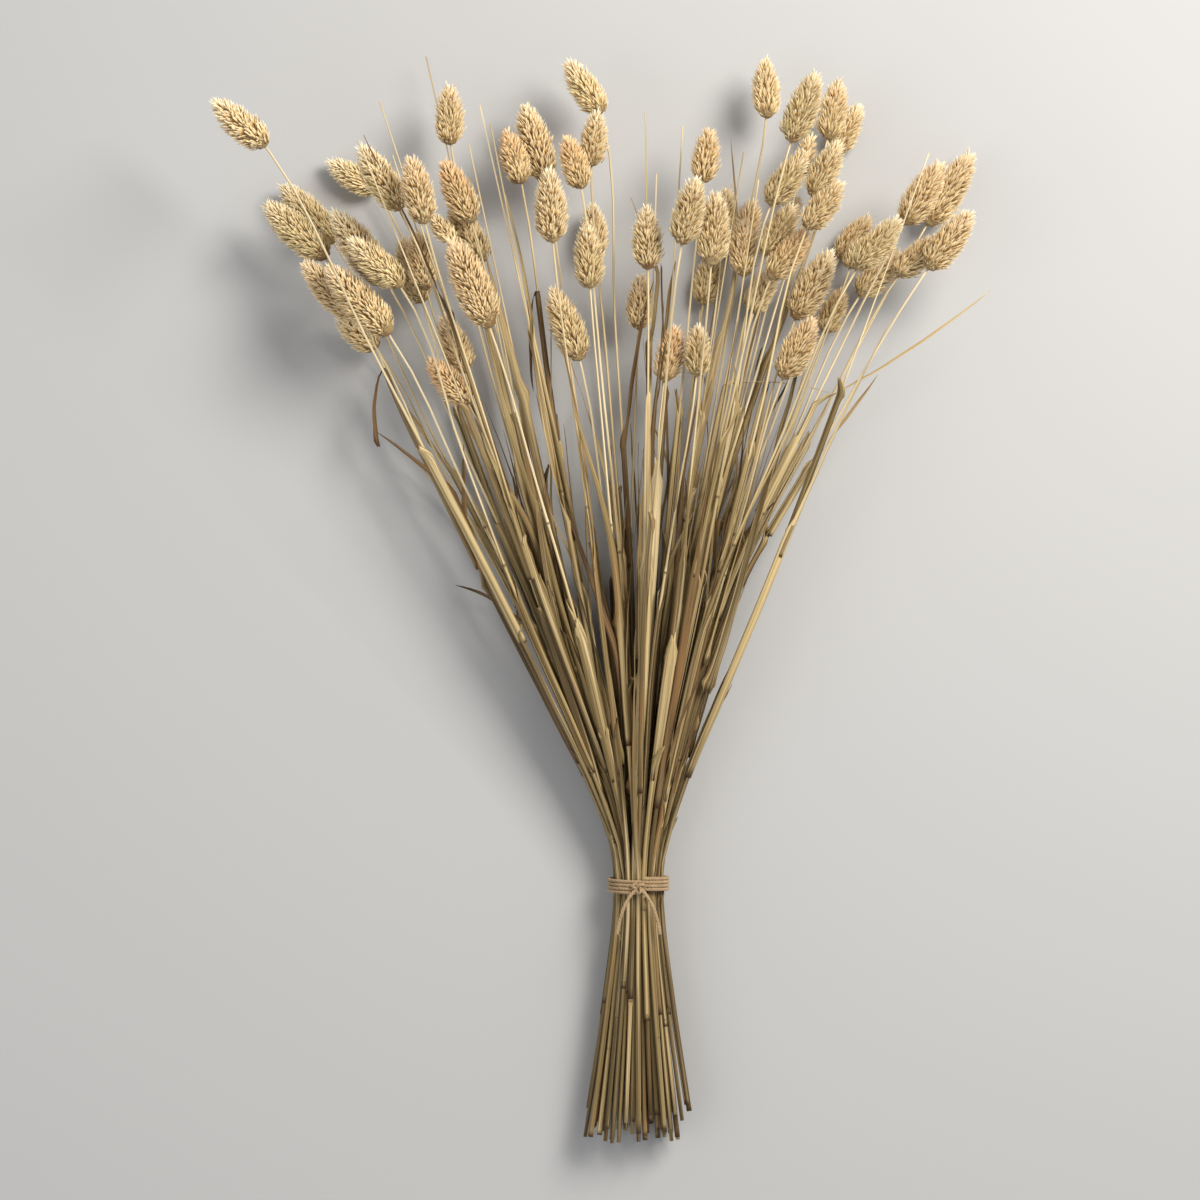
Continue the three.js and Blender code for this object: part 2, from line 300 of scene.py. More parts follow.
def close_tube(tube):
    """Welds a rolled sheet's seam and closes its two ends."""
    select(tube)
    bpy.ops.object.mode_set(mode="EDIT")
    bpy.ops.mesh.select_all(action="SELECT")
    bpy.ops.mesh.remove_doubles(threshold=1e-6)
    bpy.ops.mesh.select_all(action="SELECT")
    bpy.ops.mesh.fill_holes(sides=STEM_SIDES)
    bpy.ops.mesh.select_all(action="SELECT")
    bpy.ops.mesh.normals_make_consistent(inside=False)
    bpy.ops.object.mode_set(mode="OBJECT")


# ---------------------------------------------------------------- sheaths and leaf blades

def leaf(start, sheath, blade, facing, chance, width=2.4, wrap=1.0, away=8, curl=0, kink=0, twist=0,
         brown=0.0, torn=0.0, tone=None, side=0):
    """A dry leaf on a straight culm: a sheath round the stem, and the blade that leaves it.

    start, sheath and blade are lengths in mm, and width is half the blade's. The blade lies on the side
    that it faces (UP, LEFT, DOWN or RIGHT, or an angle between), leaves the stem at the angle away, bends
    by curl along its whole length and by kink at its middle, and turns by twist, all in degrees, and side
    swings it sideways. A torn leaf ends in a ragged edge.
    """
    length = sheath + blade
    name = f"leaf_{start:.0f}"
    sheet, across, along = sheet_of(name, LEAF_COLUMNS, LEAF_ROWS)
    s = 2 * across - 1
    d = length * along
    out = np.clip(d - sheath, 0, None)
    opened = smooth(sheath - 5, sheath + 14, d)

    # The section: the sheath's flattened round, which opens into the blade's shallow channel.
    from_cut = start + d
    slack = smooth(SLACK_FROM, SLACK_TO, from_cut) * wrap
    half_turn = SHEATH_WRAP * (1 - opened) + BLADE_WRAP * opened
    deep = (SHEATH_DEEP + SLACK_DEEP * slack) * (1 - opened) + width / BLADE_WRAP * opened
    wide = (SHEATH_WIDE + SLACK_WIDE * slack) * (1 - opened) + width / BLADE_WRAP * opened
    reach = out / max(blade, 1)
    taper = np.where(torn > 0, 1 - 0.25 * reach, np.sqrt(np.clip(1 - reach ** 1.6, 0, 1)))
    taper = np.clip(taper * (1 - 0.3 * reach), 0.03, 1)
    angle = s * half_turn
    ripple = RIPPLE * np.sin(d * RIPPLE_RATE + chance.uniform(0, 6)) * s ** 2 * opened * width
    x = (LEAF_OUT + 0.1 * slack) - deep * (1 - np.cos(angle)) * taper + ripple
    y = wide * np.sin(angle) * taper

    # The blade's own twist and the bend of its path, away from the stem and to one side.
    turn = np.radians(twist) * reach
    off = x - LEAF_OUT
    off, y = off * np.cos(turn) - y * np.sin(turn), off * np.sin(turn) + y * np.cos(turn)
    steps = np.linspace(0, 1, 100)
    headings = np.radians(away + curl * steps + kink * smooth(0.45, 0.52, steps))
    rise = np.interp(reach, steps, np.cumsum(np.cos(headings)) * blade / len(steps))
    aside = np.interp(reach, steps, np.cumsum(np.sin(headings)) * blade / len(steps))
    headed = np.interp(reach, steps, headings)
    z = start + np.minimum(d, sheath) + rise - off * np.sin(headed) * opened
    x = aside + LEAF_OUT + off * (1 + (np.cos(headed) - 1) * opened)
    y = y + math.radians(side) * out * smooth(0, max(blade, 1), out)
    ragged = np.array([chance.uniform(-1, 1) for _ in range(LEAF_COLUMNS + 1)])
    z = z + torn * ragged[np.rint(across * LEAF_COLUMNS).astype(int)] * smooth(0.93, 1, along)

    put_points(sheet.data, np.column_stack([x, y, z]) * MM)
    sheet.data.transform(Matrix.Rotation(facing, 4, "Z"))
    lay_fibres(sheet, 2 * (width + 2) * MM, length * MM)
    edge = 0.5 * smooth(0.86, 1, np.abs(s)) * (1 - opened)
    if sheath:
        edge = np.maximum(edge, 1 - smooth(0, 3, d))
    if tone is None:
        tone = 0.82 * chance.random() ** 1.2
    # Painted shade on the crowded lower part of the bundle, which darkens a leaf's tone there.
    shaded_tone = tone * (1 - PAINTED_SHADE_LOW + PAINTED_SHADE_LOW * smooth(170, 320, from_cut))
    # Painted light on the open upper part of the bundle, which pales a leaf's tone there.
    lit_tone = shaded_tone + PAINTED_LIGHT_HIGH * smooth(270, 430, from_cut) * (1 - shaded_tone)
    write_growth(sheet.data, lit_tone, edge, brown + TIP_BROWNING * reach * (blade > LONG_BLADE), tone)
    wall = sheet.modifiers.new("wall", "SOLIDIFY")
    wall.thickness = LEAF_THICKNESS * MM
    wall.offset = 0
    apply_modifiers(sheet)
    return sheet


def turned_to(sides, spread, chance):
    """One of the sides, and by chance a little to one side of it."""
    return chance.choice(sides) + chance.gauss(0, spread)


def leaves_of(nodes, length, chance):
    """The sheaths at the culm's nodes, most with their blades broken off short, as dry ones are."""
    grown = []
    neck = length / MM - chance.uniform(*NECK_LENGTH)
    for place, node in enumerate(nodes):
        start = node / MM - chance.uniform(0, 4)
        if place == 0:
            start = 0 if chance.random() < 0.5 else start
        sheath = min(chance.uniform(*SHEATH_LENGTH), neck - start)
        if sheath < SHORTEST_SHEATH:
            continue
        if chance.random() < WHOLE_BLADES[place]:
            room = length / MM - HEAD_ROOM - start - sheath
            blade = min(chance.uniform(*BLADE_LENGTH), room)
            brown = chance.choice([0, 0, 0.15, 0.35, 0.7])
            width = chance.uniform(0.9, 2.9)
            if place and chance.random() < EDGE_ON:
                grown.append(leaf(
                    start, sheath, 0.75 * blade, turned_to([LEFT, RIGHT], 0.4, chance), chance,
                    width=width, away=chance.uniform(4, 14), curl=chance.uniform(-18, 12),
                    kink=chance.choice([0, 0, -25, 25, 45]),
                    twist=chance.choice([-1, 1]) * chance.gauss(95, 25),
                    brown=brown, wrap=chance.uniform(0.2, 1.1)))
            else:
                grown.append(leaf(
                    start, sheath, blade, turned_to([UP, DOWN], 0.75, chance), chance,
                    width=width, away=chance.uniform(1, 7), curl=chance.uniform(-14, 14),
                    twist=chance.uniform(-200, 200), side=chance.uniform(-11, 11),
                    brown=brown, wrap=chance.uniform(0.2, 1.1)))
        else:
            grown.append(leaf(
                start, sheath, chance.uniform(*STUB_LENGTH), turned_to([UP, DOWN], 0.75, chance), chance,
                width=chance.uniform(1.6, 2.8), away=chance.uniform(2, 14), curl=chance.uniform(0, 30),
                torn=chance.uniform(0.8, 2.2), brown=chance.choice([0, 0, 0.15, 0.4]),
                wrap=chance.uniform(0.2, 1.35)))
    return grown


def loose_leaf(chance):
    """A length of leaf that has come away from its culm."""
    return leaf(
        0, 0, chance.uniform(*LOOSE_LENGTH), turned_to([UP, DOWN], 0.6, chance), chance,
        width=chance.choice([0.7, 1.0, 1.5, 2.2, 3.0]), away=0, curl=chance.uniform(-9, 9),
        kink=chance.choice([0, 0, -10, 12]), twist=chance.uniform(-160, 160),
        torn=chance.choice([0, 1.5]), side=chance.uniform(-7, 7),
        brown=chance.choice([0, 0.15, 0.4, 0.75]))


# ---------------------------------------------------------------- seed heads

def model_glume():
    """One glume: a slim keeled boat, its base at zero, its tip up Z and its keel towards X."""
    bpy.ops.mesh.primitive_circle_add(
        vertices=3, radius=0.5, fill_type="NGON", rotation=(0, 0, -math.pi / 2))
    bpy.ops.object.transform_apply()
    glume = bpy.context.active_object
    glume.name = "glume"
    glume.data.transform(Matrix.Diagonal((GLUME_DEPTH * 0.5, GLUME_WIDTH * 0.5, 1, 1)))
    bpy.ops.object.mode_set(mode="EDIT")
    for rise, swell in GLUME_STEPS:
        bpy.ops.mesh.select_all(action="DESELECT")
        form = bmesh.from_edit_mesh(glume.data)
        top = max(form.faces, key=lambda face: face.calc_center_median().z)
        top.select_set(True)
        bmesh.update_edit_mesh(glume.data)
        bpy.ops.mesh.extrude_region_move(
            TRANSFORM_OT_translate={"value": (0, 0, GLUME_LENGTH * rise)})
        bpy.ops.transform.resize(value=(swell, swell, 1))
    lean, rise = GLUME_POINT
    bpy.ops.mesh.extrude_region_move(
        TRANSFORM_OT_translate={"value": (GLUME_DEPTH * lean, 0, GLUME_LENGTH * rise)})
    bpy.ops.mesh.merge(type="CENTER")
    bpy.ops.mesh.select_all(action="SELECT")
    bpy.ops.mesh.normals_make_consistent(inside=False)
    bpy.ops.object.mode_set(mode="OBJECT")

    points = points_of(glume.data)
    inner = points[:, 0] < -1e-6
    points[inner, 0] *= -GLUME_HOLLOW
    put_points(glume.data, points)
    faces = [tuple(face.vertices) for face in glume.data.polygons]
    bpy.data.objects.remove(glume)
    return points, faces


def outline(share):
    """The head's radius at a share of its length, as a share of its greatest radius."""
    shares, radii = zip(*HEAD_OUTLINE)
    return np.interp(share, shares, radii)


def straight_head(number, base, length, radius, warmth, glume):
    """A seed head on a straight culm: overlapping glumes round a core dark with painted shade, their tips
    towards its own.
    """
    form, faces = glume
    even = np.linspace(0, 1, 200)
    shown = np.cumsum(outline(even) + 0.1)
    count = int(2 * math.pi * radius * length * 0.8 / GLUME_AREA)
    pick = np.random.default_rng(number)
    rank = (np.arange(count) + 0.5) / count
    tip_share = np.interp(rank * shown[-1], shown, even)
    turn = GOLDEN_ANGLE * np.arange(count) + pick.normal(0, 0.16, count)
    crown = smooth(0.72, 1, tip_share)

    tip_radius = radius * outline(tip_share) * (1 + pick.normal(0.01, 0.075, count))
    tip_height = length * (LOWEST_TIP + (1 - LOWEST_TIP) * tip_share)
    tip_height += pick.normal(0, 0.6 + 0.6 * crown, count) * MM
    at_foot, on_body, at_crown = GLUME_LIE
    lie = at_foot + (on_body - at_foot) * smooth(0, 0.22, tip_share) + (at_crown - on_body) * crown
    lie = np.radians(np.clip(lie + pick.normal(0, 8, count), 4, 84))
    size = 0.72 + 0.28 * smooth(0, 0.25, tip_share) + 0.15 * crown
    grown = GLUME_LENGTH * pick.normal(1, 0.1, count) * size
    base_radius = np.clip(tip_radius - grown * np.sin(lie), 0.35 * MM, None)
    base_height = np.clip(tip_height - grown * np.cos(lie), 0.3 * MM, None)

    points, tone, along = [], [], []
    head_tone = pick.uniform(0, 0.65)
    for i in range(count):
        outward = np.array([math.cos(turn[i]), math.sin(turn[i]), 0])
        foot = outward * base_radius[i] + (0, 0, base_height[i])
        tip = outward * tip_radius[i] + (0, 0, tip_height[i])
        axis = tip - foot
        reach = np.linalg.norm(axis)
        axis /= reach
        sideways = np.cross(axis, outward)
        sideways /= np.linalg.norm(sideways)
        keel = np.cross(sideways, axis)
        lean = pick.normal(0, 0.35)
        keel, sideways = (
            keel * math.cos(lean) + sideways * math.sin(lean),
            sideways * math.cos(lean) - keel * math.sin(lean),
        )
        axes = np.array([keel, sideways, axis * reach / GLUME_LENGTH])
        points.append(form @ axes + foot)
        tone.append(np.full(len(form), head_tone + pick.uniform(0, 0.35)))
        along.append(form[:, 2] / GLUME_LENGTH)
    step = len(form)
    all_faces = [tuple(v + step * i for v in face) for i in range(count) for face in faces]
    points = np.vstack(points)
    points[:, 2] += base

    mesh = bpy.data.meshes.new(f"head_{number}")
    mesh.from_pydata(points.tolist(), [], all_faces)
    height = np.clip((points[:, 2] - base) / length, 0, 1)
    warm = warmth * (0.25 + 0.75 * smooth(0.1, 0.95, height))
    write_growth(mesh, np.concatenate(tone), np.concatenate(along), warm, height)
    head = bpy.data.objects.new(f"head_{number}", mesh)
    bpy.context.scene.collection.objects.link(head)
    return head


def head_core(number, base, length, radius):
    """The body inside the glumes, given the glumes' dark foot colour as painted shade deep in the head."""
    bpy.ops.mesh.primitive_uv_sphere_add(segments=10, ring_count=9, radius=1)
    core = bpy.context.active_object
    core.name = f"core_{number}"
    points = points_of(core.data)
    share = (points[:, 2] + 1) / 2
    girth = np.hypot(points[:, 0], points[:, 1])
    wide = CORE_RADIUS * radius * outline(share) * (girth > 1e-4) / np.maximum(girth, 1e-4)
    height = base + length * (CORE_FOOT + CORE_LENGTH * share)
    put_points(core.data, np.column_stack([points[:, 0] * wide, points[:, 1] * wide, height]))
    # The core takes the darkest glume colour, as painted shade inside the head.
    write_growth(core.data, 0.5, 0.0, 0.0, 0.0)
    return core


# ---------------------------------------------------------------- culms

def rings_of(node):
    """The rings of a CAD culm from its cut end to its tip, each as its centre and radius."""
    form = bmesh.new()
    form.from_mesh(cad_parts[node].data)
    bmesh.ops.remove_doubles(form, verts=form.verts, dist=1e-5)
    lowest = min(vertex.co.y for vertex in form.verts)

    def off_centre(vertex):
        around = [edge.other_vert(vertex).co for edge in vertex.link_edges]
        return (sum(around, Vector()) / len(around) - vertex.co).length

    cut_end = min((v for v in form.verts if v.co.y < lowest + 2 * MM), key=off_centre)
    layer, seen, rings = {cut_end}, {cut_end}, []
    while layer:
        centre = sum((vertex.co for vertex in layer), Vector()) / len(layer)
        radius = sum((vertex.co - centre).length for vertex in layer) / len(layer)
        rings.append((centre, radius))
        layer = {edge.other_vert(vertex) for vertex in layer for edge in vertex.link_edges} - seen
        seen |= layer
    form.free()
    return rings


def path_along(name, places):
    """A smooth curve through the places, for a straight culm to be bent along."""
    curve = bpy.data.curves.new(name, "CURVE")
    curve.dimensions = "3D"
    curve.resolution_u = 16
    curve.use_radius = False
    curve.use_deform_bounds = False
    curve.twist_mode = "Z_UP"
    spline = curve.splines.new("BEZIER")
    spline.bezier_points.add(len(places) - 1)
    for point, place in zip(spline.bezier_points, places):
        point.co = place
        point.handle_left_type = point.handle_right_type = "AUTO"
    path = bpy.data.objects.new(name, curve)
    bpy.context.scene.collection.objects.link(path)
    return path


def bend_along(piece, places):
    path = path_along("path", places)
    bend = piece.modifiers.new("bend", "CURVE")
    bend.object = path
    bend.deform_axis = "POS_Z"
    apply_modifiers(piece)
    bpy.data.objects.remove(path)


def rest_on_floor(piece):
    """What would reach below the surface lies on it."""
    points = points_of(piece.data)
    points[:, 2] = np.maximum(points[:, 2], 0.1 * MM)
    put_points(piece.data, points)


def skin_and_join(name, pieces):
    """Gives each piece its material and makes them one."""
    for piece in pieces:
        of_head = piece.name.startswith(("head", "core"))
        piece.data.materials.clear()
        piece.data.materials.append(glume_skin if of_head else straw_skin)
        piece.data.polygons.foreach_set("use_smooth", [not of_head] * len(piece.data.polygons))
    select(*pieces)
    if len(pieces) > 1:
        bpy.ops.object.join()
    joined = bpy.context.active_object
    joined.name = name
    return joined


def put_in_bundle(piece, *nodes):
    rest_on_floor(piece)
    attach(piece, "root")
    if nodes:
        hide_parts(*nodes)


def length_of(places):
    return sum((b - a).length for a, b in zip(places, places[1:]))


def grow_culm(number, node, rings, glume):
    """The culm that stands for a CAD culm, along the same path and with the same head."""
    chance = random.Random(number)
    stem_rings, head_rings, tip = rings[1:-HEAD_RINGS - 1], rings[-HEAD_RINGS - 1:-1], rings[-1][0]
    places = [centre for centre, _ in stem_rings]
    length = length_of(places)
    head_length = (tip - places[-1]).length
    head_radius = max(radius for _, radius in head_rings)
    warmth = 1.0 if number in SALMON else chance.choice([0, 0.15, 0.3, 0.45])
    stem, nodes = straight_stem(number, length + HEAD_HOLD, STEM_RADIUS, NECK_RADIUS, chance)
    grown = [
        stem,
        straight_head(number, length, head_length, head_radius, warmth, glume),
        head_core(number, length, head_length, head_radius),
        *leaves_of(nodes, length, chance),
    ]
    grown += [leaf(*lengths, chance, **facts) for lengths, facts in ODD_LEAVES.get(number, [])]
    culm = skin_and_join(node, grown)
    bend_along(culm, places + [places[-1].lerp(tip, 0.5), tip])
    put_in_bundle(culm, node)


# ---------------------------------------------------------------- culms among the others

def heading(lean, rise):
    """The direction of a culm that leans and springs up by these angles, in degrees."""
    plan, up = math.radians(lean), math.radians(rise)
    return Vector((math.sin(plan) * math.cos(up), math.cos(plan) * math.cos(up), math.sin(up)))


def path_in_fan(slot, lean, reach, rise, tail, bow):
    """Places along a culm, from its cut end through its slot in the twine to the end of its reach."""
    places = []
    for y in (-tail, -tail / 2, -8 * MM):
        out = (math.hypot(y, FLARE) - FLARE) / CUT_TO_TWINE
        across, up = slot[0] * (1 + TAIL_SPREAD * out), slot[1] * (1 + TAIL_LIFT * out)
        places.append(twine_middle + Vector((across, y, up)))
    end = FLARE + reach * math.cos(math.radians(lean))
    climb = math.tan(math.radians(rise)) / math.cos(math.radians(lean))
    for share in FAN_STOPS:
        y = end * share
        out = math.hypot(y, FLARE) - FLARE
        x = slot[0] * (1 - GATHER * share) + math.tan(math.radians(lean)) * out
        x += bow * math.sin(math.pi * share) ** 2
        places.append(twine_middle + Vector((x, y, slot[1] + climb * out)))
    return places


def fill(places, radii):
    """Closely spaced places through a row of rounds, with their radii."""
    dense = []
    for (a, ra), (b, rb) in zip(zip(places, radii), zip(places[1:], radii[1:])):
        for share in np.linspace(0, 1, max(int((b - a).length / FILL_STEP), 2)):
            dense.append((*a.lerp(b, share), ra + (rb - ra) * share))
    return np.array(dense)


def clearest_path(slot, lean, reach, tail, bow, head, taken):
    """The path, of those that spring up more or less, that stays furthest from what is there already."""
    best = (-1, None)
    for rise in RISES:
        places = path_in_fan(slot, lean, reach, rise, tail, bow)
        radii = [EXTRA_WIDTH] * len(places)
        if head:
            tip = places[-1] + heading(lean + head[1], rise) * head[0] * MM
            places += [places[-1].lerp(tip, 0.4), tip]
            radii += [SMALL_HEAD_RADIUS, 2 * MM]
        dense = fill(places[4:], radii[4:])
        apart = np.linalg.norm(dense[:, None, :3] - taken[None, :, :3], axis=2)
        room = (apart - dense[:, None, 3] - taken[None, :, 3]).min()
        above = (dense[:, 2] - dense[:, 3]).min()
        if above > 0 and room > best[0] or best[1] is None:
            best = (room, (places, dense))
    return best[1]


def waist_slot(number, lean):
    """A place in the twine, from its axis, for a culm with this lean: on the side that it leans to."""
    height = SLOT_STEP * (number % 5 - 2)
    side = max(-1, min(lean / FULL_LEAN, 1))
    return side * math.sqrt(SLOT_OUT ** 2 - height ** 2), height


def grow_others(culm_rings, glume):
    """The bare culms, the small-headed ones that lie behind others, and the loose leaves."""
    taken = np.vstack([
        fill([centre for centre, _ in rings], [radius for _, radius in rings]) for rings in culm_rings])
    for number, (lean, reach, *head) in enumerate(BARE + SMALL_HEADS, FIRST_EXTRA):
        chance = random.Random(number)
        tail = chance.uniform(*EXTRA_TAIL) * MM
        bow = chance.uniform(-EXTRA_BOW, EXTRA_BOW) * MM
        places, dense = clearest_path(waist_slot(number, lean), lean, reach * MM, tail, bow, head, taken)
        taken = np.vstack([taken, dense])
        stalk = places[:-2] if head else places
        length = length_of(stalk)
        hold, thin = (HEAD_HOLD, SLIM_NECK_RADIUS) if head else (0, BARE_TIP_RADIUS)
        stem, nodes = straight_stem(number, length + hold, SLIM_RADIUS, thin, chance)
        grown = [stem, *leaves_of(nodes, length, chance)]
        if head:
            sizes = (number, length, head[0] * MM, SMALL_HEAD_RADIUS)
            grown.append(straight_head(*sizes, SMALL_HEAD_WARMTH, glume))
            grown.append(head_core(*sizes))
        culm = skin_and_join(f"extra_culm_{number - FIRST_EXTRA + 1:02d}", grown)
        bend_along(culm, places)
        put_in_bundle(culm)

    loose = []
    for number in range(FIRST_LOOSE, FIRST_LOOSE + LOOSE_LEAVES):
        chance = random.Random(number)
        lean = LOOSE_LEAN * (2 * (number - FIRST_LOOSE + chance.random()) / LOOSE_LEAVES - 1)
        start = chance.uniform(*LOOSE_START) * MM
        bow = chance.uniform(-EXTRA_BOW, EXTRA_BOW) * MM
        places, _ = clearest_path(
            waist_slot(number, lean), lean, LOOSE_REACH * MM, LOOSE_TAIL * MM, bow, (), taken)
        piece = skin_and_join(f"loose_{number}", [loose_leaf(chance)])
        piece.data.transform(Matrix.Translation((0, 0, start)))
        bend_along(piece, places)
        loose.append(piece)
    put_in_bundle(skin_and_join("loose_leaves", loose))


# ---------------------------------------------------------------- materials

class Skin:
    """A material's nodes, wired by name."""

    def __init__(self, name):
        self.material = bpy.data.materials.new(name)
        self.material.use_nodes = True
        self.tree = self.material.node_tree
        self.shader = self.tree.nodes["Principled BSDF"]

    def node(self, kind, inputs=None, **settings):
        made = self.tree.nodes.new(f"ShaderNode{kind}")
        for key, value in settings.items():
            setattr(made, key, value)
        for key, value in (inputs or {}).items():
            self.feed(made.inputs[key], value)
        return made

    def feed(self, socket, value):
        if isinstance(value, bpy.types.NodeSocket):
            self.tree.links.new(value, socket)
        else:
            socket.default_value = value

    def maths(self, operation, a, b=0.0):
        return self.node("Math", {0: a, 1: b}, operation=operation).outputs[0]

    def mix(self, share, a, b, blend="MIX"):
        made = self.node("Mix", {0: share, 6: a, 7: b}, data_type="RGBA", blend_type=blend)
        return made.outputs[2]

    def ramp(self, value, *stops):
        made = self.node("ValToRGB", {0: value})
        elements = made.color_ramp.elements
        while len(elements) < len(stops):
            elements.new(0.5)
        for element, (place, colour) in zip(elements, stops):
            element.position = place
            element.color = (*colour, 1)
        return made.outputs[0]

    def plus(self, a, b):
        return self.maths("ADD", a, b)

    def times(self, a, b):
        return self.maths("MULTIPLY", a, b)

    def noise(self, place, scale, detail, roughness=0.5):
        return self.node("TexNoise", {
            "Vector": place, "Scale": scale, "Detail": detail, "Roughness": roughness}).outputs[0]

    def bumps(self, height, strength, distance):
        bump = self.node("Bump", {"Strength": strength, "Distance": distance, "Height": height}).outputs[0]
        self.feed(self.shader.inputs["Normal"], bump)

    def level(self, value, low, high):
        """0 where the value is low and 1 where it is high."""
        return self.node("MapRange", {0: value, 1: low, 2: high}).outputs[0]

    def growth(self):
        """The four facts that write_growth keeps."""
        facts = self.node("Attribute", attribute_name="growth").outputs
        parts = self.node("SeparateColor", {0: facts["Color"]}).outputs
        return parts[0], parts[1], parts[2], facts["Alpha"]


def make_straw_skin():
    """Stems and leaves: ribbed dry fibre, khaki to straw, going brown in stretches."""
    skin = Skin("straw")
    tone, mark, brown, cut_from = skin.growth()
    uv = skin.node("UVMap", uv_map="fibre").outputs[0]
    apart = skin.times(cut_from, 7.3)
    shifted = skin.node("VectorMath", {0: uv, 1: apart}, operation="ADD").outputs[0]

    def fibres(across, along, detail, roughness=0.5):
        """A pattern drawn out along the fibres, with so many changes across and along in each metre."""
        drawn_out = skin.node("Mapping", {0: shifted, 3: (across, along, 1)}).outputs[0]
        return skin.noise(drawn_out, 1.0, detail, roughness)

    fine = fibres(1150, 7, 3.0, 0.65)
    broad = fibres(680, 9, 2.0)
    aged = fibres(240, 12, 4.0, 0.62)

    base = skin.ramp(tone, *STRAW_TONES)
    lighter = skin.mix(skin.times(skin.level(broad, 0.47, 0.66), 0.7), base, PALE_FIBRE)
    # The grooves between the fine ribs are darkened, more on darker straw: partly the fibres' own streaks,
    # partly painted shade in the grooves.
    depth = skin.maths("SUBTRACT", 0.97, skin.times(tone, 0.55))
    striped = skin.mix(skin.times(skin.level(fine, 0.54, 0.42), depth), lighter, STREAK_AND_GROOVE_SHADE)
    rust = skin.level(skin.plus(aged, skin.times(brown, 0.3)), 0.6, 0.82)
    rusty = skin.mix(skin.times(rust, 0.7), striped, RUST)
    darker = skin.mix(skin.level(skin.plus(broad, skin.times(brown, 0.5)), 0.72, 1.05), rusty, OLD_BROWN)
    marked = skin.mix(skin.level(mark, 0.25, 1.0), darker, JOINT_BROWN)
    skin.feed(skin.shader.inputs["Base Color"], marked)
    rough = skin.node("MapRange", {0: fine, 1: 0.3, 2: 0.7, 3: 0.68, 4: 0.5}).outputs[0]
    skin.feed(skin.shader.inputs["Roughness"], rough)
    skin.shader.inputs["Specular IOR Level"].default_value = 0.35
    skin.bumps(fine, 0.7, 0.25 * MM)
    return skin.material


def make_glume_skin():
    """Glumes: papery, cream at the edges and tips, straw and green-beige on the body, brown at the foot,
    which is partly their own colour and partly painted shade where they overlap.
    """
    skin = Skin("glumes")
    tone, along, warmth, height = skin.growth()
    place = skin.node("TexCoord").outputs["Object"]
    fine = skin.noise(place, 1500.0, 3.0, 0.65)
    blotch = skin.noise(place, 120.0, 2.0)
    shifted = skin.plus(along, skin.times(skin.maths("SUBTRACT", fine, 0.5), 0.35))
    body = skin.ramp(shifted, *GLUME_TONES)
    greener = skin.level(skin.plus(tone, blotch), 0.8, 1.35)
    green = skin.mix(skin.times(greener, 0.45), body, GREEN_BEIGE)
    pale = skin.mix(skin.times(skin.level(height, 0.55, 1.05), skin.level(along, 0.3, 0.9)), green, CREAM)
    warm = skin.mix(skin.times(warmth, skin.level(along, 0.35, 0.95)), pale, SALMON_PINK)
    skin.feed(skin.shader.inputs["Base Color"], warm)
    skin.shader.inputs["Roughness"].default_value = 0.62
    skin.shader.inputs["Specular IOR Level"].default_value = 0.3
    skin.shader.inputs["Sheen Weight"].default_value = 0.15
    skin.bumps(fine, 0.35, 0.1 * MM)
    return skin.material


def make_twine_skin():
    """Jute: brown fibres with lighter and darker strands."""
    skin = Skin("twine")
    place = skin.node("TexCoord").outputs["Object"]
    fine = skin.noise(place, 1400.0, 4.0, 0.7)
    broad = skin.noise(place, 160.0, 2.0)
    base = skin.ramp(fine, *JUTE_TONES)
    varied = skin.mix(skin.level(broad, 0.4, 0.7), base, WORN_JUTE)
    skin.feed(skin.shader.inputs["Base Color"], varied)
    skin.shader.inputs["Roughness"].default_value = 0.9
    skin.shader.inputs["Sheen Weight"].default_value = 0.2
    skin.bumps(fine, 0.7, 0.2 * MM)
    return skin.material


# ---------------------------------------------------------------- twine

def strands_along(name, route):
    """Twists the strands of a twine along a route, given as closely spaced places."""
    route = np.array(route)
    steps = np.linalg.norm(np.diff(route, axis=0), axis=1)
    at = np.concatenate([[0], np.cumsum(steps)])
    count = max(int(at[-1] / STRAND_LAY * LAY_SECTIONS), 8)
    where = np.linspace(0, at[-1], count)
    centre = np.column_stack([np.interp(where, at, route[:, axis]) for axis in range(3)])
    forward = np.gradient(centre, axis=0)
    forward /= np.linalg.norm(forward, axis=1)[:, None]
    side = np.cross(forward, (0.31, 0.17, 0.93))
    side /= np.linalg.norm(side, axis=1)[:, None]
    over = np.cross(side, forward)
    curve = bpy.data.curves.new(name, "CURVE")
    curve.dimensions = "3D"
    curve.bevel_depth = STRAND_RADIUS
    curve.bevel_resolution = 1
    curve.use_fill_caps = True
    for strand in range(STRANDS):
        turn = 2 * math.pi * (where / STRAND_LAY + strand / STRANDS)
        offset = TWINE_RADIUS - STRAND_RADIUS
        line = centre + offset * (np.cos(turn)[:, None] * side + np.sin(turn)[:, None] * over)
        spline = curve.splines.new("POLY")
        spline.points.add(count - 1)
        spline.points.foreach_set("co", np.column_stack([line, np.ones(count)]).ravel())
    twisted = bpy.data.objects.new(name, curve)
    bpy.context.scene.collection.objects.link(twisted)
    select(twisted)
    bpy.ops.object.convert(target="MESH")
    bpy.ops.object.shade_smooth()
    return bpy.context.active_object


def middle_of_twine():
    """The middle of the round that the twine makes."""
    low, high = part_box("twine")
    return Vector((
        (low.x + high.x) / 2, high.y - TWINE_TURNS * TWINE_RADIUS, low.z + (high.x - low.x) / 2))


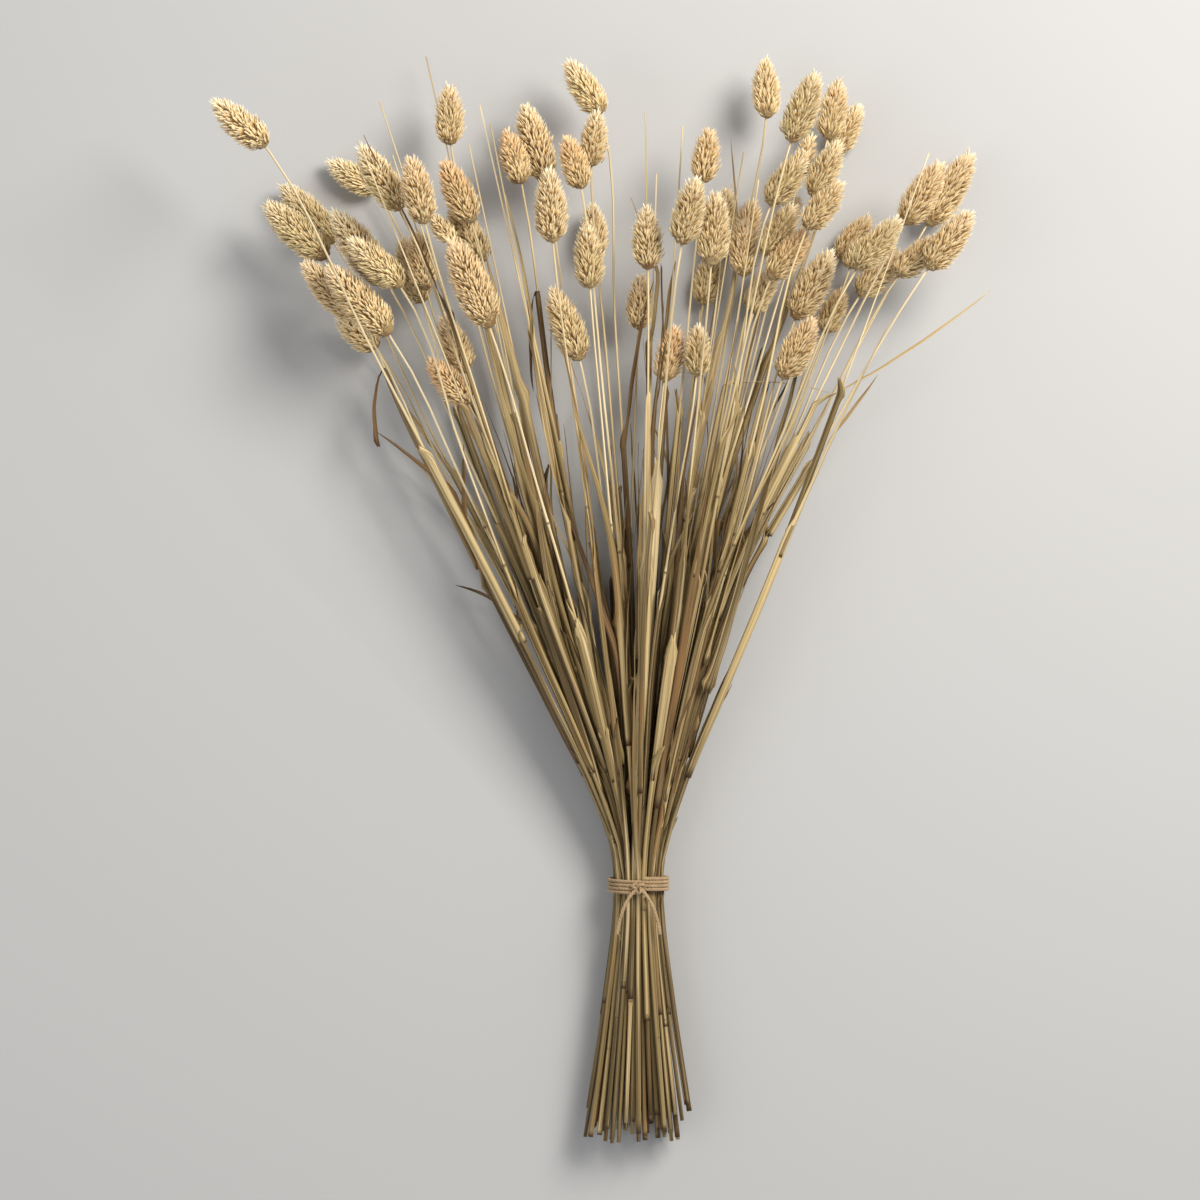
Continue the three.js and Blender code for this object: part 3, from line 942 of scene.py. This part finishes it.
def tie_twine():
    """The turns of twine round the stems, a knot on top and its two free ends."""
    low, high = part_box("twine")
    outer = (high.x - low.x) / 2
    radius = outer - TWINE_RADIUS
    turns = np.linspace(0, TWINE_TURNS - 0.02, TURN_ROUNDING * TWINE_TURNS)
    angle = 2 * math.pi * turns + math.pi / 2
    wraps = np.column_stack([
        twine_middle.x + radius * np.cos(angle),
        twine_middle.y + 2 * TWINE_RADIUS * (turns - (TWINE_TURNS - 1) / 2) * TURN_PITCH,
        twine_middle.z + radius * np.sin(angle),
    ])
    pieces = [strands_along("twine_turns", wraps)]

    top = twine_middle.z + outer
    t = np.linspace(0.25, 2 * math.pi - 0.25, 60)
    across, along, up = KNOT_SIZE
    knot = np.column_stack([
        twine_middle.x + across * (np.sin(t) + 1.6 * np.sin(2 * t)),
        twine_middle.y + along * (np.cos(t) - 1.6 * np.cos(2 * t)),
        top + KNOT_RISE - up * np.sin(3 * t),
    ])
    pieces.append(strands_along("twine_knot", knot))
    on_top = np.array([twine_middle.x, twine_middle.y, top])
    for hand in (-1, 1):
        s = np.linspace(0, 1, 24)[:, None]
        start = on_top + (hand * 1.5 * MM, -1 * MM, 0.8 * MM)
        bend = on_top + (hand * TWINE_END * 0.35, -TWINE_END * 0.3, 2.2 * MM)
        end = on_top + (hand * TWINE_END * 0.45, -TWINE_END * 0.97, 0.6 * MM)
        tail = (1 - s) ** 2 * start + 2 * s * (1 - s) * bend + s ** 2 * end
        pieces.append(strands_along("twine_end", tail))
    select(*pieces)
    bpy.ops.object.join()
    tie = bpy.context.active_object
    tie.name = "twine_tie"
    tie.data.materials.clear()
    tie.data.materials.append(make_twine_skin())
    rest_on_floor(tie)
    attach(tie, "root")
    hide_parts("twine")


# ---------------------------------------------------------------- stage

def set_stage():
    bpy.ops.mesh.primitive_plane_add(size=10)
    floor = bpy.context.active_object
    floor.name = "floor"
    skin = Skin("floor")
    skin.shader.inputs["Base Color"].default_value = (0.45, 0.448, 0.445, 1)
    skin.shader.inputs["Roughness"].default_value = 0.9
    floor.data.materials.append(skin.material)

    world = bpy.data.worlds.new("studio")
    world.use_nodes = True
    world.node_tree.nodes["Background"].inputs["Color"].default_value = (0.96, 0.97, 1.0, 1)
    world.node_tree.nodes["Background"].inputs["Strength"].default_value = 0.5
    bpy.context.scene.world = world

    for name, place, size, power, colour in (
        ("key", (0.85, 0.85, 1.3), 0.8, 38, (1, 0.965, 0.9)),
        ("fill", (-1.2, -0.2, 1.3), 1.2, 6, (1, 1, 1)),
    ):
        bpy.ops.object.light_add(type="AREA", location=place)
        light = bpy.context.active_object
        light.name = name
        light.data.size = size
        light.data.energy = power
        light.data.color = colour
        light.rotation_euler = (-Vector(place)).to_track_quat("-Z", "Y").to_euler()


def set_camera():
    """Looks straight down on the bundle from far enough for its stems to stay nearly parallel."""
    low, high = cad_box
    middle = (low + high) / 2
    distance = 2.6
    shown = 1.095 * (high.y - low.y)
    data = bpy.data.cameras.new("camera")
    data.lens = data.sensor_width * distance / shown
    camera = bpy.data.objects.new("camera", data)
    camera.location = (middle.x, middle.y, high.z / 2 + distance)
    bpy.context.scene.collection.objects.link(camera)
    bpy.context.scene.camera = camera
    bpy.context.scene.view_settings.view_transform = "Standard"


# ---------------------------------------------------------------- the bundle


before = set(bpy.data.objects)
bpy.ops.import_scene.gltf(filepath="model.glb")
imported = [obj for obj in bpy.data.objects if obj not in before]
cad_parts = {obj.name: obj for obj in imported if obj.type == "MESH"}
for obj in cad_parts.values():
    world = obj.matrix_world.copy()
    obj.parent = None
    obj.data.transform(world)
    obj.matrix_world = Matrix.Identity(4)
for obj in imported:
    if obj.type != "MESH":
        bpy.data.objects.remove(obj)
cad_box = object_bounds()
set_stage()
set_camera()

straw_skin = make_straw_skin()
glume_skin = make_glume_skin()
glume = model_glume()
twine_middle = middle_of_twine()
culm_nodes = sorted(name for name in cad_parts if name.startswith("culm_"))
culm_rings = [rings_of(node) for node in culm_nodes]
for number, node in enumerate(culm_nodes, 1):
    grow_culm(number, node, culm_rings[number - 1], glume)
grow_others(culm_rings, glume)
tie_twine()

bpy.context.view_layer.update()
